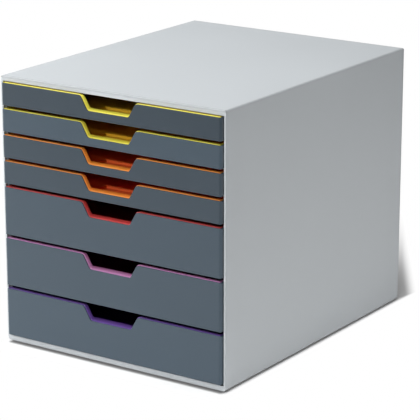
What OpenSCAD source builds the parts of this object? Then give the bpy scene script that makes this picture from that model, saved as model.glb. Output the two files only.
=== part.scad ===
// Desktop drawer box: a moulded case, two runner racks, and seven drawers.
// Each drawer is a coloured tray with a dark cover clipped on its front.
// X runs to the right, Y to the back, Z up. The origin is the middle of the footprint, on the table.

/* [Case] */
// Outer width of the case
case_w = 280; // [250:1:330]
// Depth of the case, from its front edge to its back edge
case_d = 352; // [320:1:400]
// Thickness of the side walls
wall_t = 2; // [1.6:0.1:3]
// Thickness of the top panel
top_t = 2.5; // [2:0.1:3.5]
// Height of the turned-down lip along the front of the top
lip_h = 5.5; // [4:0.1:8]
// How far that lip hangs down in front of the first drawer space
lip_drop = 1; // [0:0.1:1.2]
// Depth of that lip, front to back
lip_d = 3; // [2:0.1:5]
// Thickness of the base panel
base_t = 2.5; // [2:0.1:3.5]
// Height of the skirt below the drawers, base panel included
skirt_h = 6; // [5:0.1:12]
// Rounding of the long bottom edges
case_bottom_r = 4; // [2:0.1:5]
// Rounding of the long top edges
case_top_r = 2; // [1:0.1:3]
// Rounding of the front and back edges of the top
case_end_r = 1.2; // [0.6:0.1:2]
// Thickness of the ribs under the base panel
rib_t = 1.5; // [1:0.1:2.5]
// Height of those ribs
rib_h = 2.4; // [1:0.1:3]

/* [Back panel] */
// Thickness of the back panel
back_t = 2.5; // [2:0.1:4]
// How far the back panel sits inside the back edge
back_recess = 1; // [0.5:0.1:3]
// Width of the frame that the back panel rests against
back_frame_w = 2.5; // [2:0.1:4]
// Clearance round the back panel
back_gap = 0.2; // [0.1:0.05:0.5]
// Width of the raised border on the back panel
back_border = 12; // [8:1:20]
// Depth of the field inside that border
back_field = 0.8; // [0.4:0.1:1.2]

/* [Feet] */
// Diameter of a rubber foot
foot_dia = 14; // [10:0.5:20]
// How far the feet stand out below the skirt
foot_h = 1.5; // [1:0.1:3]
// How deep a foot sits in its boss
foot_seat = 1.5; // [1:0.1:2]
// Clearance round a foot in its boss
foot_gap = 0.1; // [0.05:0.05:0.3]
// Wall of the boss round a foot
boss_wall = 1.5; // [1:0.1:3]
// Bevel round the sole of a foot
foot_bevel = 0.6; // [0.2:0.1:0.8]
// Middle of a foot, in from the sides, front and back of the case
foot_inset = 20; // [16:1:40]

/* [Runner racks] */
// Thickness of the upright plate of a rack
rack_t = 2; // [1.5:0.1:3]
// How far a runner ledge reaches in past the glide rib that it carries
ledge_lap = 1; // [0.5:0.1:3]
// Thickness of a runner ledge
ledge_t = 1.8; // [1.4:0.1:2.2]
// Length of the slanted lead-in at the front of a ledge
lead_in = 9; // [4:0.5:14]
// Height of a ledge's top above the bottom of its drawer space
ledge_rise = 2.8; // [2.6:0.1:3.4]
// Length of a stop lug, front to back
lug_l = 6; // [4:0.5:10]
// How much a tray's stop nib and a lug overlap in height
stop_bite = 1.2; // [0.4:0.1:1.6]

/* [Drawers] */
// Height of one drawer space: a thin drawer takes one, a tall drawer two
unit_h = 28; // [25:0.5:36]
// Gap under a drawer front, within its drawer space
front_gap = 1.8; // [1:0.1:2.2]
// Gap above the coloured rim of a tray, within its drawer space
rim_gap = 1.8; // [1.4:0.1:2.4]
// Gap between a drawer front and the side wall
side_gap = 0.6; // [0.4:0.1:1.2]
// How far the drawer fronts stand out from the case
front_proud = 4; // [3.2:0.1:8]
// How far a drawer slides out
travel = 250; // [150:1:270]
// Thickness of the tray walls and floor
tray_t = 1.8; // [1.4:0.1:2.4]
// Draft of the tray walls, in degrees
draft = 1.2; // [0.5:0.1:2]
// Gap between a tray and its rack, on each side
tray_gap = 0.7; // [0.5:0.1:1.2]
// Gap between a tray and the frame at the back
rear_gap = 5; // [3:0.5:10]
// Rounding inside the tray, between floor and walls
tray_r = 2; // [1:0.1:4]
// Rounding of the upright corners at the back of a tray
tray_corner_r = 6; // [3:0.5:12]
// Height of the glide ribs under a tray
glide_h = 0.8; // [0.5:0.1:1]
// Width of a glide rib
glide_w = 2; // [1.2:0.1:3]
// Where a glide rib starts, behind the front of the tray
glide_front = 20; // [10:1:40]
// Where a glide rib ends, in front of the rear of the tray
glide_rear = 12; // [8:1:40]
// Running gap between a glide rib and its ledge
run_gap = 0.15; // [0.1:0.05:0.3]
// Depth of the finger hollow in the tray floor, behind the grip
hollow_h = 2; // [1:0.1:2.2]
// Length of the finger hollow, front to back
hollow_l = 36; // [25:1:60]
// Run of the slopes round the finger hollow
hollow_run = 2; // [1:0.5:8]

/* [Fronts] */
// Thickness of the dark cover
cover_t = 1.5; // [1.2:0.1:2.5]
// How far the sides of the cover reach back
cover_return = 8; // [6:0.5:12]
// Thickness of the sides and bottom of the cover
return_t = 1.7; // [1.2:0.1:2]
// Rounding of the upright edges of the cover
cover_edge_r = 3; // [1.5:0.1:3.2]
// Rounding of the corners of the cover, seen from the front
cover_corner_r = 1.5; // [0.6:0.1:2.5]
// Rounding of the lower front edge of the cover
cover_bottom_r = 0.8; // [0.4:0.1:1.5]
// Clearance between cover and tray
clip_gap = 0.1; // [0.05:0.05:0.2]
// Width of a clip
clip_w = 10; // [6:0.5:14]
// Thickness of a clip
clip_t = 1.4; // [1:0.1:2]
// Height of the barb on a clip
barb_h = 0.7; // [0.4:0.1:1]
// Height of the clips above the bottom of their drawer space
clip_rise = 9; // [8:0.5:14]

/* [Grip] */
// Width of the finger cut-out along its top
grip_top_w = 68.5; // [60:0.5:100]
// Width of the finger cut-out along its bottom
grip_bottom_w = 51; // [40:0.5:58]
// Depth of the finger cut-out
grip_depth = 15.1; // [10:0.1:16.5]
// Rounding of its upper corners
grip_top_r = 5; // [3:0.1:6]
// Rounding of its lower corners
grip_bottom_r = 3.5; // [1:0.1:5]
// Thickness of the coloured rim round the cut-out and along the top
rim_t = 1.6; // [1:0.1:2.4]
// How far the rim stands out past the edge of the cover
rim_show = 0.6; // [0.3:0.1:1]
// Depth of the rim along the top, front to back
rim_top_d = 3.8; // [2.5:0.1:6]
// Depth of the rim down the slopes of the cut-out
rim_slope_d = 4.9; // [3:0.1:8]
// Depth of the ledge that the rim makes along the bottom of the cut-out
rim_ledge_d = 10; // [5:0.1:12]
// Rounding of the rim's free edges
rim_r = 0.5; // [0.3:0.05:0.75]

/* [Hidden] */

// Drawer spaces of the seven drawers, from the top down
drawer_units = [1, 1, 1, 1, 2, 2, 2];
tray_colours = ["#ece43c", "#ece43c", "#f08a32", "#f08a32", "#d23a44", "#c566b4", "#6b3fa6"];
case_colour = "#c9cdd0";
cover_colour = "#56626f";
rack_colour = "#a9adb0";
foot_colour = "#2b2c2e";

// Straight pieces that make up each rounded corner
arc_steps = 8;
// How far cuts run out past the surface
over = 1;
// How far two pieces of one moulding run into each other
joined = 0.01;
// Clearance that keeps neighbours apart where nothing slides
fit_gap = 0.2;

function sum(list, from, to) = from > to ? 0 : list[from] + sum(list, from + 1, to);
units_total = sum(drawer_units, 0, len(drawer_units) - 1);

// Heights of the case
skirt_z = foot_h;
floor_z = skirt_z + skirt_h;
opening_top_z = floor_z + units_total * unit_h;
case_top_z = opening_top_z - lip_drop + lip_h;
ceiling_z = case_top_z - top_t;

// Places along the depth: the drawer fronts and the back edge are equally far from the origin
front_y = -(case_d + front_proud) / 2;
case_front_y = front_y + front_proud;
case_back_y = case_front_y + case_d;
panel_back_y = case_back_y - back_recess;
panel_front_y = panel_back_y - back_t;
frame_front_y = panel_front_y - back_frame_w;
inner_half = case_w / 2 - wall_t;

// Runner racks
rack_face_x = inner_half - rack_t;
rack_front_y = front_y + cover_return + 1.5 * fit_gap;
rack_top_z = ceiling_z - fit_gap;
// The rear end of a ledge stops short of the frame at the back
ledge_rear_y = frame_front_y - 2;
ledge_corner_r = 2;
lug_w = 3;
barb_l = 1.4;
// Height of the ribs under the top that keep the racks upright and the first drawer down
keeper_h = ceiling_z - (opening_top_z + ledge_rise - ledge_t);
keeper_t = 1.6;
keeper_gap = 0.15;
// The bosses round the feet end a little above the bottom edge of the skirt
boss_rise = 0.3;
// Wedges that hold the back panel: length, height and gap
wedge_l = 14;
wedge_h = 0.7;
wedge_gap = 0.05;
wedge_places = [0.2, 0.5, 0.8];

// Trays
tray_half = rack_face_x - tray_gap;
tray_front_y = front_y + cover_t + clip_gap;
tray_rear_y = frame_front_y - rear_gap;
tallest_wall = unit_h * max(drawer_units);
glide_x = tray_half - tan(draft) * tallest_wall - tray_r - tray_t - glide_w / 2;
ledge_tip_x = glide_x - glide_w / 2 - ledge_lap;
nib_l = 6;
nib_root = 1;
nib_rear_y = tray_rear_y - tray_corner_r - 2;
nib_clear = 0.5;
lug_rear_y = nib_rear_y - nib_l - travel - 1.5 * fit_gap;
hollow_front_y = tray_front_y + tray_t + hollow_run + 1;

// Covers
cover_half = inner_half - side_gap;
rim_half = tray_half - fit_gap;
clip_reach = clip_gap + tray_t + fit_gap;

// Bottom of drawer space n, and its number of units
function space_z(n) = floor_z + unit_h * sum(drawer_units, n, len(drawer_units) - 1);
function space_h(n) = unit_h * drawer_units[n - 1];

function unit(v) = v / norm(v);
function reverse(list) = [for (i = [len(list) - 1:-1:0]) list[i]];
function mirrored(path) = concat(path, [for (p = reverse(path)) [-p[0], p[1], p[2]]]);

// Points that round corner b of the path a, b, c with radius r
function corner(a, b, c, r, steps = arc_steps) =
    let (
        u = unit(a - b),
        w = unit(c - b),
        half = acos(u * w) / 2,
        centre = b + unit(u + w) * r / sin(half),
        first = b + u * r / tan(half),
        start = atan2(first[1] - centre[1], first[0] - centre[0]),
        turn = -sign(cross(u, w)) * (180 - 2 * half)
    )
    [for (i = [0:steps]) centre + r * [cos(start + turn * i / steps), sin(start + turn * i / steps)]];

function point(p) = [p[0], p[1]];

// Outline of a closed path whose points are [x, y, radius]
function rounded(path, steps = arc_steps) = [
    for (i = [0:len(path) - 1])
        each (path[i][2] == 0 ? [point(path[i])] :
            corner(
                point(path[(i + len(path) - 1) % len(path)]), point(path[i]),
                point(path[(i + 1) % len(path)]), path[i][2], steps
            ))
];

// Extrudes an outline in X and Z from y0 to y1
module along_y(y0, y1) {
    translate([0, y1, 0]) rotate([90, 0, 0]) linear_extrude(y1 - y0) children();
}

// Extrudes an outline in Y and Z from x0 to x1
module along_x(x0, x1) {
    translate([x0, 0, 0]) rotate([90, 0, 90]) linear_extrude(x1 - x0) children();
}

module block(low, high) {
    translate(low) cube(high - low);
}

module both_sides() {
    children();
    mirror([1, 0, 0]) children();
}

// ---- Case ----

module foot_places() {
    for (x = [-1, 1])
        for (y = [case_front_y + foot_inset, case_back_y - foot_inset])
            translate([x * (case_w / 2 - foot_inset), y, 0]) children();
}

module case_block() {
    intersection() {
        along_y(case_front_y, case_back_y)
            polygon(rounded(mirrored([
                [-case_w / 2, case_top_z, case_top_r],
                [-case_w / 2, skirt_z, case_bottom_r]
            ])));
        along_x(-case_w / 2 - over, case_w / 2 + over)
            polygon(rounded([
                [case_front_y, skirt_z, case_end_r],
                [case_back_y, skirt_z, case_end_r],
                [case_back_y, case_top_z, case_end_r],
                [case_front_y, case_top_z, case_end_r]
            ]));
    }
}

// The space for drawers and racks, open at the front and back
module case_space() {
    block([-inner_half, case_front_y - over, floor_z],
        [inner_half, case_back_y + over, opening_top_z - lip_drop]);
    block([-inner_half, case_front_y + lip_d, floor_z], [inner_half, case_back_y + over, ceiling_z]);
}

// The hollow under the base panel
module skirt_space() {
    inner_r = max(case_bottom_r - wall_t, fit_gap);
    along_y(case_front_y + wall_t, case_back_y - wall_t)
        polygon(rounded(mirrored([
            [-inner_half, floor_z - base_t, 0],
            [-inner_half, skirt_z + wall_t, inner_r],
            [-inner_half + wall_t, skirt_z - over, 0]
        ])));
}

module base_ribs() {
    rib_z = floor_z - base_t - rib_h;
    half = inner_half - wall_t;
    for (x = [-0.5, 0, 0.5])
        block([x * half - rib_t / 2, case_front_y + wall_t, rib_z],
            [x * half + rib_t / 2, case_back_y - wall_t, floor_z - base_t + joined]);
    for (y = [-0.5, 0, 0.5])
        block([-half, y * case_d / 2 - rib_t / 2, rib_z],
            [half, y * case_d / 2 + rib_t / 2, floor_z - base_t + joined]);
}

// Frame inside the back edge that the back panel rests against
module back_frame() {
    difference() {
        block([-inner_half - joined, frame_front_y, floor_z - joined],
            [inner_half + joined, panel_front_y, ceiling_z + joined]);
        block([-inner_half + back_frame_w, frame_front_y - over, floor_z + back_frame_w],
            [inner_half - back_frame_w, panel_front_y + over, ceiling_z - back_frame_w]);
    }
}

module case_shell() {
    color(case_colour) difference() {
        union() {
            difference() {
                case_block();
                case_space();
                skirt_space();
            }
            base_ribs();
            foot_places()
                translate([0, 0, skirt_z + boss_rise])
                    cylinder(d = foot_dia + 2 * (foot_gap + boss_wall), h = skirt_h - base_t, $fn = 48);
            back_frame();
            both_sides()
                block([rack_face_x - keeper_gap - keeper_t, rack_front_y, ceiling_z - keeper_h],
                    [rack_face_x - keeper_gap, frame_front_y + joined, ceiling_z + joined]);
        }
        foot_places()
            translate([0, 0, -over])
                cylinder(d = foot_dia + 2 * foot_gap, h = over + foot_h + foot_seat, $fn = 48);
        snap_slots();
    }
    color(case_colour) panel_nibs();
}

// Places along the depth of the snap tabs that hold a rack down in the base panel
snap_places = [-0.38, -0.13, 0.13, 0.38] * case_d;

module snap_slots() {
    for (y = snap_places)
        both_sides()
            block([rack_face_x - clip_gap, y - clip_w / 2 - clip_gap, floor_z - base_t - over],
                [rack_face_x + clip_t + clip_gap, y + clip_w / 2 + clip_gap, floor_z + over]);
}

// Small wedges on the side walls that hold the back panel in
module panel_nibs() {
    near_y = panel_back_y + wedge_gap;
    for (place = wedge_places)
        both_sides()
            translate([0, 0, floor_z + place * (ceiling_z - floor_z) - wedge_l / 2])
                linear_extrude(wedge_l)
                    polygon([
                        [inner_half + joined, near_y], [inner_half - wedge_h, near_y],
                        [inner_half + joined, case_back_y - 2 * wedge_gap]
                    ]);
}

module back_panel() {
    color(case_colour) difference() {
        block([-inner_half + back_gap, panel_front_y, floor_z + back_gap],
            [inner_half - back_gap, panel_back_y, ceiling_z - back_gap]);
        block([-inner_half + back_border, panel_back_y - back_field, floor_z + back_border],
            [inner_half - back_border, panel_back_y + over, ceiling_z - back_border]);
    }
}

module foot(x, y) {
    color(foot_colour)
        translate([x * (case_w / 2 - foot_inset), y, 0])
            rotate_extrude($fn = 64)
                polygon([
                    [0, 0], [foot_dia / 2 - foot_bevel, 0], [foot_dia / 2, foot_bevel],
                    [foot_dia / 2, foot_h + foot_seat], [0, foot_h + foot_seat]
                ]);
}

// ---- Runner racks ----

// One ledge of the right-hand rack, its top at height z
module ledge(z) {
    translate([0, 0, z - ledge_t])
        linear_extrude(ledge_t)
            polygon(rounded([
                [rack_face_x + joined, rack_front_y, 0],
                [rack_face_x + joined, ledge_rear_y, 0],
                [ledge_tip_x, ledge_rear_y, ledge_corner_r],
                [ledge_tip_x, rack_front_y + lead_in, ledge_corner_r],
                [rack_face_x - ledge_corner_r / 2, rack_front_y, ledge_corner_r / 4]
            ]));
}

// Stop lug in front of the tray's nib, in the top of the space that ends at height z
module stop_lug(z) {
    under = z - rim_gap + nib_clear;
    roof = z + ledge_rise - ledge_t + joined;
    along_x(rack_face_x - lug_w, rack_face_x + joined)
        polygon([
            [lug_rear_y, under], [lug_rear_y, roof],
            [lug_rear_y - lug_l, roof], [lug_rear_y - lug_l / 2, under]
        ]);
}

module rack() {
    block([rack_face_x, rack_front_y, floor_z], [inner_half, frame_front_y - fit_gap, rack_top_z]);
    for (n = [1:len(drawer_units)]) {
        ledge(space_z(n) + ledge_rise);
        stop_lug(space_z(n) + space_h(n));
    }
    // snap tabs through the base panel, with a barb below it
    barb_z = floor_z - base_t - clip_gap;
    for (y = snap_places)
        along_y(y - clip_w / 2, y + clip_w / 2)
            polygon([
                [rack_face_x, floor_z + joined], [rack_face_x, barb_z],
                [rack_face_x - barb_h, barb_z], [rack_face_x, barb_z - barb_l],
                [rack_face_x + clip_t, barb_z - barb_l], [rack_face_x + clip_t, floor_z + joined]
            ]);
}

module runner_rack_right() {
    color(rack_colour) rack();
}

module runner_rack_left() {
    color(rack_colour) mirror([1, 0, 0]) rack();
}

// ---- Trays ----

// Edge of the front wall at distance inset inside the rim's face, from left to right, its bends wider by ease;
// z is the top of the rim
function grip_edge(z, inset, half, ease) =
    let (step = inset * tan(grip_turn / 2))
    mirrored([
        [-half, z - inset, 0],
        [-grip_top_w / 2 - step, z - inset, grip_top_r - inset + ease],
        [-grip_bottom_w / 2 - step, z - grip_depth - inset, grip_bottom_r + inset + ease]
    ]);

// Angle between the top of the grip and its sloping sides
grip_turn = atan2(grip_depth, (grip_top_w - grip_bottom_w) / 2);

// Points of an open path, its ends left as they are
function open_path(path) = [
    for (i = [0:len(path) - 1])
        each (path[i][2] == 0 ? [point(path[i])] :
            corner(point(path[i - 1]), point(path[i]), point(path[i + 1]), path[i][2]))
];

// Section of the rim where it is so deep: distance into the tray's wall, then Y
function rim_section(depth) = rounded([
    [0, tray_front_y, rim_r], [0, tray_front_y + depth, rim_r],
    [rim_t, tray_front_y + depth, 0], [rim_t, tray_front_y, 0]
], 4);

// Depth of the rim so far below its top: it widens round each bend, into a ledge at the bottom
bend_drop = 1 - cos(grip_turn);
function rim_depth(down) = lookup(down, [
    [0, rim_top_d], [grip_top_r * bend_drop, rim_slope_d],
    [grip_depth - grip_bottom_r * bend_drop, rim_slope_d], [grip_depth, rim_ledge_d]
]);

// How far the points of a swept section move for each millimetre into the wall, at point i of an [x, z] path
function mitre(path, i) =
    let (
        last = len(path) - 1,
        before = i > 0 ? unit(path[i] - path[i - 1]) : unit(path[1] - path[0]),
        after = i < last ? unit(path[i + 1] - path[i]) : before
    )
    [before[1] + after[1], -before[0] - after[0]] / (1 + before * after);

// The rim along the top of the front and round the grip, its sections joined by pairs of triangles;
// z is the top of the rim
module rim(z) {
    path = open_path(grip_edge(z, 0, rim_half, 0));
    last = len(path) - 1;
    count = len(rim_section(rim_top_d));
    polyhedron(
        points = [
            for (i = [0:last])
                let (m = mitre(path, i))
                for (p = rim_section(rim_depth(z - path[i][1])))
                    [path[i][0] + m[0] * p[0], p[1], path[i][1] + m[1] * p[0]]
        ],
        faces = concat(
            [[for (j = [count - 1:-1:0]) j]],
            [
                for (i = [0:last - 1])
                    for (j = [0:count - 1])
                        let (k = (j + 1) % count, here = i * count, next = here + count)
                        each [[here + j, here + k, next + k], [here + j, next + k, next + j]]
            ],
            [[for (j = [0:count - 1]) last * count + j]]
        )
    );
}

// Section of the tray across its width, wall_in inside the outer faces
module tray_section(z0, z1, wall_in, r) {
    lean = tan(draft) * (z1 - z0);
    half = tray_half - wall_in;
    polygon(rounded(mirrored([[-half, z1, 0], [-half + lean, z0, r]])));
}

// Section of the tray along its length
module tray_profile(y0, y1, z0, z1, r) {
    lean = tan(draft) * (z1 - z0);
    polygon(rounded([[y0, z0, 0], [y1 - lean, z0, r], [y1, z1, 0], [y0, z1, 0]]));
}

// Plan of the tray, with its two rounded corners at the back
module tray_plan(y0, y1, z0, z1, wall_in) {
    half = tray_half - wall_in;
    translate([0, 0, z0])
        linear_extrude(z1 - z0)
            polygon(rounded([
                [-half, y0, 0], [half, y0, 0],
                [half, y1, tray_corner_r - wall_in], [-half, y1, tray_corner_r - wall_in]
            ]));
}

// The hollow behind the grip, as a solid that opens upwards at height z
module hollow(z, grow, depth) {
    half = grip_top_w / 2 + grow;
    y0 = hollow_front_y - grow;
    y1 = hollow_front_y + hollow_l + grow;
    intersection() {
        along_y(y0 - over, y1 + over)
            polygon([
                [-half, z], [-half + hollow_run, z - depth],
                [half - hollow_run, z - depth], [half, z]
            ]);
        along_x(-half - over, half + over)
            polygon([
                [y0, z], [y0 + hollow_run, z - depth],
                [y1 - hollow_run, z - depth], [y1, z]
            ]);
    }
}

// Tray of a drawer that takes so many units of height, above the bottom of its space
module tray_body(units) {
    top = units * unit_h - rim_gap;
    under = ledge_rise + run_gap + glide_h;
    floor_top = under + tray_t;
    inner_front = tray_front_y + tray_t;
    difference() {
        union() {
            intersection() {
                along_y(tray_front_y, tray_rear_y) tray_section(under, top, 0, tray_r + tray_t);
                along_x(-case_w, case_w)
                    tray_profile(tray_front_y, tray_rear_y, under, top, tray_r + tray_t);
                tray_plan(tray_front_y, tray_rear_y, under, top, 0);
            }
            hollow(under + joined, tray_t / 2, hollow_h);
            // the front wall runs down to the bottom edge of the cover
            block([-tray_half + tray_t, tray_front_y, front_gap + return_t + clip_gap],
                [tray_half - tray_t, inner_front, floor_top]);
        }
        intersection() {
            along_y(inner_front, tray_rear_y) tray_section(floor_top, top + over, tray_t, tray_r);
            along_x(-case_w, case_w)
                tray_profile(inner_front, tray_rear_y - tray_t, floor_top, top + over, tray_r);
            tray_plan(inner_front, tray_rear_y - tray_t, floor_top, top + over, tray_t);
        }
        hollow(floor_top + joined, 0, hollow_h + joined);
        grip_cut(top);
        clip_slots(units);
    }
    rim(top);
    both_sides() {
        block([glide_x - glide_w / 2, tray_front_y + glide_front, under - glide_h],
            [glide_x + glide_w / 2, tray_rear_y - glide_rear, under + joined]);
        nib(top);
    }
}

module tray(n) {
    color(tray_colours[n - 1])
        translate([0, 0, space_z(n)]) tray_body(drawer_units[n - 1]);
}

// Nib near the rear of a side wall that meets the rack's stop lug
module nib(top) {
    high = top + nib_clear + stop_bite;
    along_x(tray_half - tray_t, tray_half)
        polygon([
            [nib_rear_y - nib_l, top - nib_root], [nib_rear_y - nib_l, high],
            [nib_rear_y - nib_l / 2, high], [nib_rear_y, top - nib_root]
        ]);
}

// What the grip takes out of the front wall; the rim covers the cut edge
module grip_cut(top) {
    half = tray_half - tray_t - fit_gap;
    along_y(front_y, tray_front_y + tray_t + joined)
        polygon(concat(
            [[-half, top + over]],
            open_path(grip_edge(top, rim_t / 2, half, rim_t / 2)),
            [[half, top + over]]
        ));
}

// ---- Covers ----

// Rows and columns of the clips on a cover, from the bottom of its space and the middle
function clip_rows(units) = [for (row = [0:units - 1]) clip_rise + row * unit_h];
clip_columns = [-0.42, -0.21, 0.21, 0.42] * case_w;

module clip_slots(units) {
    for (x = clip_columns)
        for (z = clip_rows(units))
            block([x - clip_w / 2 - 2 * clip_gap, tray_front_y - over, z - 2 * clip_gap],
                [x + clip_w / 2 + 2 * clip_gap, tray_front_y + tray_t + over, z + clip_t + barb_h + 2 * clip_gap]);
}

module clips(units) {
    back = front_y + cover_t;
    for (x = clip_columns)
        for (z = clip_rows(units))
            translate([x, 0, z])
                along_x(-clip_w / 2, clip_w / 2)
                    polygon([
                        [back - joined, 0], [back + clip_reach + clip_t, 0],
                        [back + clip_reach + clip_t, clip_t], [back + clip_reach, clip_t + barb_h],
                        [back + clip_reach, clip_t], [back - joined, clip_t]
                    ]);
}

// Cover of a drawer that takes so many units of height, above the bottom of its space
module cover_body(units) {
    low = front_gap;
    rim_z = units * unit_h - rim_gap;
    high = rim_z - rim_show;
    back_y = front_y + cover_return;
    cover_back = front_y + cover_t;
    difference() {
        intersection() {
            along_y(front_y - over, back_y)
                polygon(rounded(mirrored([
                    [-cover_half, high, cover_corner_r],
                    [-cover_half, low, cover_corner_r]
                ])));
            along_x(-case_w, case_w)
                polygon(rounded([
                    [front_y, low, cover_bottom_r], [back_y, low, 0],
                    [back_y, high, 0], [front_y, high, cover_bottom_r / 2]
                ]));
            translate([0, 0, low])
                linear_extrude(high - low)
                    polygon(rounded(mirrored([
                        [-cover_half, back_y, 0],
                        [-cover_half, front_y, cover_edge_r]
                    ])));
        }
        // room for the tray's front wall
        block([-cover_half + return_t, cover_back, low + return_t],
            [cover_half - return_t, back_y + over, high + over]);
        block([-cover_half + return_t, tray_front_y + tray_t, low - over],
            [cover_half - return_t, back_y + over, high]);
        // cut-out for the fingers, between the two ends of its edge
        edge = open_path(grip_edge(rim_z, rim_show, rim_half, 0));
        last = len(edge) - 2;
        along_y(front_y - over, cover_back + over)
            polygon(concat(
                [[edge[1][0], high + over]],
                [for (i = [1:last]) edge[i]],
                [[edge[last][0], high + over]]
            ));
    }
    clips(units);
}

module cover(n) {
    color(cover_colour)
        translate([0, 0, space_z(n)]) cover_body(drawer_units[n - 1]);
}

case_shell();
back_panel();
runner_rack_left();
runner_rack_right();
tray(1);  // tray_1
tray(2);  // tray_2
tray(3);  // tray_3
tray(4);  // tray_4
tray(5);  // tray_5
tray(6);  // tray_6
tray(7);  // tray_7
cover(1);  // front_1
cover(2);  // front_2
cover(3);  // front_3
cover(4);  // front_4
cover(5);  // front_5
cover(6);  // front_6
cover(7);  // front_7
foot(-1, case_front_y + foot_inset);  // foot_front_left
foot(1, case_front_y + foot_inset);  // foot_front_right
foot(-1, case_back_y - foot_inset);  // foot_rear_left
foot(1, case_back_y - foot_inset);  // foot_rear_right
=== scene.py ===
import math

import bmesh
import bpy
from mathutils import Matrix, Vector

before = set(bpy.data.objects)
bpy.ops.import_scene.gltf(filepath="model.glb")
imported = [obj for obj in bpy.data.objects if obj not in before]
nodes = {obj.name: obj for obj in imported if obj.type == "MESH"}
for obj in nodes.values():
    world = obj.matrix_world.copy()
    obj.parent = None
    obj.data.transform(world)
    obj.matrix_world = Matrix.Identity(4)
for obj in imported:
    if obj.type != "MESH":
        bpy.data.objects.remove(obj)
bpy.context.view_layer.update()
print("frame loaded:", len(nodes), "pieces")

# Where the faces of the drawer box lie, in metres
boxSize = {
    "halfWidth": 0.140,
    "coverHalfWidth": 0.1374,
    "coverFront": -0.178,
    "caseFront": -0.174,
    "back": 0.178,
    "top": 0.292,
}


# A socket with arithmetic: each operation adds its Math node
class Wire:
    def __init__(self, finish, socket):
        self.finish = finish
        self.socket = socket

    def math(self, operation, *others, clamp=False):
        settings = {"operation": operation, "use_clamp": clamp}
        return self.finish.add("ShaderNodeMath", settings, (self, *others))

    def __add__(self, other):
        return self.math("ADD", other)

    def __radd__(self, other):
        return self.math("ADD", other)

    def __sub__(self, other):
        return self.math("SUBTRACT", other)

    def __rsub__(self, other):
        return self.finish.add("ShaderNodeMath", {"operation": "SUBTRACT"}, (other, self))

    def __mul__(self, other):
        return self.math("MULTIPLY", other)

    def __rmul__(self, other):
        return self.math("MULTIPLY", other)

    def clamped(self):
        return self.math("ADD", 0.0, clamp=True)


# The nodes of one material or of the world
class Finish:
    def __init__(self, owner, outputKind="ShaderNodeOutputMaterial"):
        self.owner = owner
        owner.use_nodes = True
        self.tree = owner.node_tree
        self.tree.nodes.clear()
        self.output = self.tree.nodes.new(outputKind)

    # Adds a node: its settings first, then the values or wires of its sockets
    def add(self, kind, settings, values, result=0):
        node = self.tree.nodes.new(kind)
        for key, value in settings.items():
            setattr(node, key, value)
        pairs = values.items() if isinstance(values, dict) else enumerate(values)
        for key, value in pairs:
            if isinstance(value, Wire):
                self.tree.links.new(value.socket, node.inputs[key])
            else:
                node.inputs[key].default_value = value
        return Wire(self, node.outputs[result])

    def place(self):
        return self.add("ShaderNodeTexCoord", {}, {}, "Object")

    def axes(self):
        split = self.add("ShaderNodeSeparateXYZ", {}, {"Vector": self.place()}).socket.node
        return [Wire(self, split.outputs[name]) for name in "XYZ"]

    def noise(self, place, scale, detail, roughness=0.5):
        values = {"Vector": place, "Scale": scale, "Detail": detail, "Roughness": roughness}
        return self.add("ShaderNodeTexNoise", {}, values, "Fac")

    # 0 up to start, 1 from end on, smooth between
    def ramp(self, value, start, end):
        settings = {"interpolation_type": "SMOOTHSTEP"}
        values = {"Value": value, "From Min": start, "From Max": end, "To Min": 0.0, "To Max": 1.0}
        return self.add("ShaderNodeMapRange", settings, values, "Result")

    # 1 at the face, 0 from width inside it
    def nearFace(self, value, face, width):
        return self.ramp(value, face - width, face)

    def blend(self, mask, first, second):
        values = {0: mask, 6: first, 7: second}
        return self.add("ShaderNodeMix", {"data_type": "RGBA"}, values, 2)

    def bump(self, height, strength, distance):
        values = {"Strength": strength, "Distance": distance, "Height": height}
        return self.add("ShaderNodeBump", {}, values, "Normal")

    def surface(self, shader):
        self.tree.links.new(shader.socket, self.output.inputs["Surface"])
        return self.owner


def rgba(colour):
    return (*colour, 1.0)


def scaled(colour, factor):
    return rgba([min(1.0, channel * factor) for channel in colour])


# What every moulded finish shares; a detail is a noise's detail and roughness
mouldedLook = {
    "mottleDetail": (3.0, 0.55),
    "grainDetail": (2.0, 0.6),
    "grainRough": 0.06,
    "scuffDetail": (4.0, 0.7),
    "scuffFrom": (0.62, 0.78),
    "scuffTone": 1.25,
    "scuffRough": 0.05,
    "edgeScale": 90.0,
    "edgeDetail": 3.0,
    "edgeRough": 0.08,
    "ior": 1.5,
}


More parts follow.
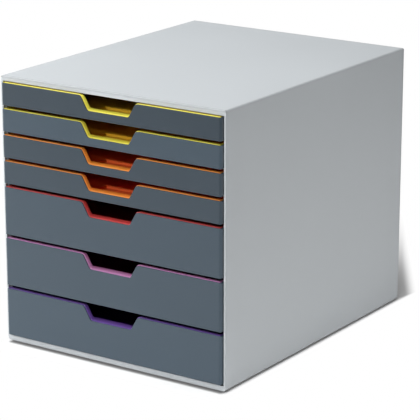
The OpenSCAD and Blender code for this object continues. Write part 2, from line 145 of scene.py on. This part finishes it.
# Moulded plastic: spark-eroded grain, faint mottling, fine scuffs, and edges worn smoother by
# handling; the edges' colour is painted light, a darker shade on the case and a lighter highlight
# on the covers
def plastic(name, ownLook, edges=None):
    look = dict(mouldedLook, **ownLook)
    base = look["colour"]
    finish = Finish(bpy.data.materials.new(name))
    place = finish.place()
    mottle = finish.noise(place, look["mottleScale"], *look["mottleDetail"])
    grain = finish.noise(place, look["grainScale"], *look["grainDetail"])
    stretch = {"Vector": place, "Scale": look["scuffStretch"]}
    stretched = finish.add("ShaderNodeMapping", {}, stretch)
    scuff = finish.noise(stretched, look["scuffScale"], *look["scuffDetail"])
    scuff = finish.ramp(scuff, *look["scuffFrom"])
    dark = scaled(base, 1 - look["variation"])
    light = scaled(base, 1 + look["variation"])
    colour = finish.blend(mottle, dark, light)
    colour = finish.blend(scuff * look["scuffAmount"], colour, scaled(base, look["scuffTone"]))
    rough = look["roughness"] + (mottle - 0.5) * look["roughVariation"]
    rough = rough + scuff * look["scuffRough"] + (grain - 0.5) * look["grainRough"]
    # Painted shade: inside, the tray takes a darker, warmer copy of its rim colour, and the rim's
    # top under the cover above is darker still
    if "inside" in look:
        y, z = finish.axes()[1:]
        colour = finish.blend(finish.ramp(y, *look["insideFrom"]), colour, rgba(look["inside"]))
        below = [look["top"] - depth for depth in look["gapDepth"]]
        gap = finish.ramp(y, *look["gapFrom"]) * finish.ramp(z, *below)
        shade = scaled(look["inside"], look["gapTone"])
        colour = finish.blend(gap * look["gapAmount"], colour, shade)
    # Edges: wear lowers their roughness, and their colour moves to a painted-light tone, painted
    # shade where it is darker and a painted highlight where it is lighter
    if edges:
        patches = finish.noise(place, look["edgeScale"], look["edgeDetail"])
        edgeWearAndLight = edges(finish) * finish.ramp(patches, *look["edgePatches"])
        colour = finish.blend(edgeWearAndLight * look["edgeAmount"], colour, scaled(base, look["edgePaintedLightTone"]))
        rough = rough - edgeWearAndLight * look["edgeRough"]
    values = {
        "Base Color": colour,
        "Roughness": rough.clamped(),
        "IOR": look["ior"],
        "Normal": finish.bump(grain, look["grainStrength"], look["grainDepth"]),
    }
    return finish.surface(finish.add("ShaderNodeBsdfPrincipled", {}, values, "BSDF"))


def dress(node, material):
    slots = nodes[node].data.materials
    slots.clear()
    slots.append(material)


# Case and back panel
caseLook = {
    "colour": (0.560, 0.591, 0.613),
    "variation": 0.018,
    "roughness": 0.46,
    "roughVariation": 0.08,
    "mottleScale": 9.0,
    "grainScale": 2600.0,
    "grainStrength": 0.22,
    "grainDepth": 0.00006,
    "scuffScale": 26.0,
    "scuffStretch": (1.0, 5.0, 1.0),
    "scuffAmount": 0.03,
    # Painted shade: the case's edges are darker, to dim the highlight the lamps leave on its
    # fillets; their lower roughness is wear
    "edgeAmount": 0.90,
    "edgePaintedLightTone": 0.70,
    "edgeWidth": 0.0036,
    "edgePatches": (0.05, 0.35),
    "sideShare": 0.5,  # how strongly the sides' edges are marked, against the top's front and back ones
}


def caseEdges(finish):
    x, y, z = finish.axes()
    width = caseLook["edgeWidth"]
    share = caseLook["sideShare"]
    side = finish.nearFace(x.math("ABSOLUTE"), boxSize["halfWidth"], width)
    top = finish.nearFace(z, boxSize["top"], width)
    front = finish.nearFace(y * -1.0, -boxSize["caseFront"], width)
    back = finish.nearFace(y, boxSize["back"], width)
    return (top * front + top * back + top * side * share + side * back * share).clamped()


caseGrey = plastic("caseGrey", caseLook, caseEdges)
for node in ("case_shell", "back_panel"):
    dress(node, caseGrey)

# Runner racks: the case's plastic, darker
rackLook = dict(caseLook, colour=(0.400, 0.420, 0.435), roughness=0.48, mottleScale=12.0)
rackGrey = plastic("rackGrey", rackLook)
for side in ("left", "right"):
    dress("runner_rack_" + side, rackGrey)

# Feet
rubberLook = {
    "colour": (0.028, 0.028, 0.030),
    "variation": 0.10,
    "roughness": 0.78,
    "roughVariation": 0.10,
    "mottleScale": 120.0,
    "grainScale": 1800.0,
    "grainStrength": 0.5,
    "grainDepth": 0.00010,
    "scuffScale": 200.0,
    "scuffStretch": (1.0, 1.0, 1.0),
    "scuffAmount": 0.25,
}
footRubber = plastic("footRubber", rubberLook)
for side in ("left", "right"):
    for end in ("front", "rear"):
        dress(f"foot_{end}_{side}", footRubber)

# Covers: one slate blue, each drawer's a little lighter or darker, from the top down: painted
# light and shade set to how bright each cover looks, brighter towards the bottom
coverLook = {
    "colour": (0.040, 0.062, 0.084),
    "tonesAndLight": [0.76, 1.16, 0.82, 0.87, 1.12, 1.14, 1.23],
    "variation": 0.04,
    "roughness": 0.42,
    "roughVariation": 0.10,
    "mottleScale": 14.0,
    "grainScale": 3000.0,
    "grainStrength": 0.20,
    "grainDepth": 0.00005,
    "scuffScale": 30.0,
    "scuffStretch": (5.0, 1.0, 1.0),
    "scuffAmount": 0.05,
    # Painted highlight: the covers' rounded side corners are lighter where the lamps leave them
    # dark; their lower roughness is wear
    "edgeAmount": 0.60,
    "edgePaintedLightTone": 1.60,
    "edgeWidth": 0.0025,
    "edgePatches": (0.25, 0.60),
}


def coverEdges(finish):
    x, y = finish.axes()[:2]
    width = coverLook["edgeWidth"]
    side = finish.nearFace(x.math("ABSOLUTE"), boxSize["coverHalfWidth"], width)
    return side * finish.nearFace(y * -1.0, -boxSize["coverFront"], width)


for number, toneAndLight in enumerate(coverLook["tonesAndLight"], 1):
    look = dict(coverLook, colour=[channel * toneAndLight for channel in coverLook["colour"]])
    dress(f"front_{number}", plastic(f"coverSlate_{number}", look, coverEdges))

# Trays: the rim's colour at the front, a deeper one inside that is painted shade, and a painted
# shade line under the cover above
trayLook = {
    "variation": 0.03,
    "roughness": 0.30,
    "roughVariation": 0.08,
    "mottleScale": 18.0,
    "grainScale": 3400.0,
    "grainStrength": 0.12,
    "grainDepth": 0.00004,
    "scuffScale": 34.0,
    "scuffStretch": (1.0, 4.0, 1.0),
    "scuffAmount": 0.04,
    "insideFrom": (-0.1664, -0.1600),
    "gapFrom": (-0.1760, -0.1750),
    "gapDepth": (0.0010, 0.0004),
    "gapTone": 0.3,
    "gapAmount": 0.25,
    "firstGapAmount": 0.85,  # the first drawer lies in the shade of the case's lip
}
# At the rim, and inside, where the colour is the rim's painted darker and warmer as shade
trayColours = {
    "yellow": ((0.840, 0.760, 0.090), (0.850, 0.500, 0.038)),
    "orange": ((0.880, 0.300, 0.050), (0.870, 0.150, 0.040)),
    "red": ((0.560, 0.060, 0.060), (0.480, 0.045, 0.045)),
    "pink": ((0.560, 0.250, 0.500), (0.440, 0.130, 0.360)),
    "purple": ((0.145, 0.075, 0.330), (0.100, 0.045, 0.250)),
}
drawerColours = ["yellow", "yellow", "orange", "orange", "red", "pink", "purple"]

for number, name in enumerate(drawerColours, 1):
    rimColour, shadedInsideColour = trayColours[name]
    points = [vertex.co for vertex in nodes[f"tray_{number}"].data.vertices]
    rimTop = max(point.z for point in points if point.y < trayLook["gapFrom"][0])
    look = dict(trayLook, colour=rimColour, inside=shadedInsideColour, top=rimTop)
    if number == 1:
        look["gapAmount"] = look["firstGapAmount"]
    dress(f"tray_{number}", plastic(f"tray_{number}_{name}", look))
print("finishes on")

# Table: white near the object and dim beyond it, with a painted shadow behind the box and painted
# shade under its front edge; to the camera all except the shadow is plain white. A change starts
# and ends at two distances in metres, past the box's side, front or back
floorLook = {
    "size": 12.0,
    "colour": (0.90, 0.90, 0.90),
    "dim": (0.30, 0.30, 0.30),
    "dimFrom": (0.65, 1.30),  # from the middle of the box
    "lift": 0.10,  # how much plain white the camera sees in the shadow too
    "whiteSide": (-0.002, 0.0035),
    "whiteFront": (0.004, 0.022),
    "whiteBack": (0.072, 0.322),
    "shadowWay": (0.85, 0.53),  # out across the shadow's right end; turned round, its left end
    "shadowRight": (0.0085, 0.0245),
    "shadowLeft": (-0.010, 0.030),
    "shadowBack": (0.0, 0.022),
    # Painted shadow: the table's colour is darker behind the box, up to the shadow's right-hand
    # end
    "shadowTone": (0.55, 0.55, 0.55),
    # Painted shade: the table's colour is darker under the covers' front edge
    "underFront": (-0.002, 0.004),  # inwards
    "underSide": (0.0, 0.006),  # inwards
    "paintedUnderShadeTone": (0.20, 0.20, 0.20),
}


def floorWhite():
    finish = Finish(bpy.data.materials.new("floorWhite"))
    x, y = finish.axes()[:2]
    half = boxSize["halfWidth"]
    pastBack = y - boxSize["back"]
    wayX, wayY = floorLook["shadowWay"]

    # What light the table gives back, with a painted shadow behind the box and painted shade under
    # its front edge
    reach = (x * x + y * y).math("SQRT")
    dim = finish.ramp(reach, *floorLook["dimFrom"])
    colour = finish.blend(dim, rgba(floorLook["colour"]), rgba(floorLook["dim"]))
    outRight = (x - half) * wayX + pastBack * wayY
    besideRight = finish.ramp(outRight, *floorLook["shadowRight"])
    behind = finish.ramp(pastBack, *floorLook["shadowBack"])
    colour = finish.blend(behind * (1 - besideRight), colour, rgba(floorLook["shadowTone"]))
    paintedUnderShade = finish.ramp(y - boxSize["coverFront"], *floorLook["underFront"])
    paintedUnderShade = paintedUnderShade * finish.ramp(half - x.math("ABSOLUTE"), *floorLook["underSide"])
    colour = finish.blend(paintedUnderShade * (1 - behind), colour, rgba(floorLook["paintedUnderShadeTone"]))
    diffuse = finish.add("ShaderNodeBsdfDiffuse", {}, {"Color": colour})

    # Where the camera sees plain white
    outLeft = ((x + half) * wayX + pastBack * wayY) * -1.0
    besideLeft = finish.ramp(outLeft, *floorLook["shadowLeft"])
    right = finish.ramp(x - half, *floorLook["whiteSide"])
    left = finish.ramp(-half - x, *floorLook["whiteSide"]).math("MINIMUM", besideLeft)
    front = finish.ramp(boxSize["coverFront"] - y, *floorLook["whiteFront"])
    back = finish.ramp(pastBack, *floorLook["whiteBack"])
    white = right
    for mask in (left, front, back, besideRight):
        white = white.math("MAXIMUM", mask)
    lift = floorLook["lift"] + white * (1 - floorLook["lift"])
    rays = finish.add("ShaderNodeLightPath", {}, {}).socket.node.outputs
    direct = Wire(finish, rays["Is Camera Ray"])
    through = Wire(finish, rays["Is Transmission Ray"])
    seen = direct.math("MAXIMUM", through) * lift
    light = finish.add("ShaderNodeEmission", {}, {"Color": (1, 1, 1, 1), "Strength": 1.0})
    return finish.surface(finish.add("ShaderNodeMixShader", {}, (seen, diffuse, light)))


def makeFloor():
    bm = bmesh.new()
    bmesh.ops.create_grid(bm, x_segments=1, y_segments=1, size=floorLook["size"] / 2)
    mesh = bpy.data.meshes.new("floor")
    bm.to_mesh(mesh)
    bm.free()
    mesh.materials.append(floorWhite())
    floor = bpy.data.objects.new("floor", mesh)
    bpy.context.scene.collection.objects.link(floor)


makeFloor()

# World: plain white to the camera, and a faint white light
skyLook = {"colour": (1.0, 1.0, 1.0), "strength": 0.03}
world = bpy.data.worlds.new("studio")
bpy.context.scene.world = world
sky = Finish(world, "ShaderNodeOutputWorld")
skyValues = {"Color": rgba(skyLook["colour"]), "Strength": skyLook["strength"]}
skyLight = sky.add("ShaderNodeBackground", {}, skyValues)
skySeen = sky.add("ShaderNodeBackground", {}, {"Color": (1, 1, 1, 1), "Strength": 1.0})
skyRay = sky.add("ShaderNodeLightPath", {}, {}, "Is Camera Ray")
sky.surface(sky.add("ShaderNodeMixShader", {}, (skyRay, skyLight, skySeen)))
print("floor and world set")

# Softboxes that face the middle of the object: side is in degrees from the front, positive to the
# right, and up in degrees above level
lampLook = {"tint": (1.0, 1.0, 1.0), "middle": (0.0, 0.0, 0.15)}
lamps = {
    "over": {"side": 24, "up": 75, "far": 2.2, "size": 1.1, "watts": 24.4},
    "right": {"side": 35, "up": 50, "far": 2.2, "size": 1.1, "watts": 9.3},
    "front": {"side": -2, "up": 29, "far": 2.2, "size": 0.22, "watts": 15.0},
    "left": {"side": -60, "up": 40, "far": 1.4, "size": 0.8, "watts": 5.0},
    "topLeft": {"side": -90, "up": 60, "far": 1.0, "size": 0.6, "watts": 2.3},
    "lowLeft": {"side": -60, "up": 10, "far": 1.2, "size": 0.6, "watts": 4.8},
    "back": {"side": 182, "up": 10, "far": 2.2, "size": 1.1, "watts": 4.2},
    "lowRight": {"side": 98, "up": -10, "far": 0.75, "size": 0.4, "watts": 1.30},
}


def makeLamp(name, look):
    side, up = math.radians(look["side"]), math.radians(look["up"])
    level = math.cos(up)
    way = Vector((math.sin(side) * level, -math.cos(side) * level, math.sin(up)))
    data = bpy.data.lights.new(name, "AREA")
    data.shape = "DISK"
    data.size = look["size"]
    data.energy = look["watts"]
    data.color = lampLook["tint"]
    lamp = bpy.data.objects.new(name, data)
    lamp.location = Vector(lampLook["middle"]) + way * look["far"]
    lamp.rotation_euler = (-way).to_track_quat("-Z", "Y").to_euler()
    lamp.visible_camera = False
    bpy.context.scene.collection.objects.link(lamp)


for name, look in lamps.items():
    makeLamp(name, look)
print("lamps set:", len(lamps))

# Camera: looks down by tilt and is turned to the object's front right, in degrees
view = {
    "place": (1.2411, -1.8255, 0.7737),
    "turn": 34.134,
    "tilt": 16.327,
    "lens": 181.29,
    "sensor": 36.0,
    "clip": 0.05,
}
cameraData = bpy.data.cameras.new("camera")
cameraData.lens = view["lens"]
cameraData.sensor_width = view["sensor"]
cameraData.clip_start = view["clip"]
camera = bpy.data.objects.new("camera", cameraData)
camera.location = view["place"]
camera.rotation_euler = (math.radians(90 - view["tilt"]), 0, math.radians(view["turn"]))
bpy.context.scene.collection.objects.link(camera)
bpy.context.scene.camera = camera
bpy.context.scene.view_settings.view_transform = "Standard"
print("camera set")
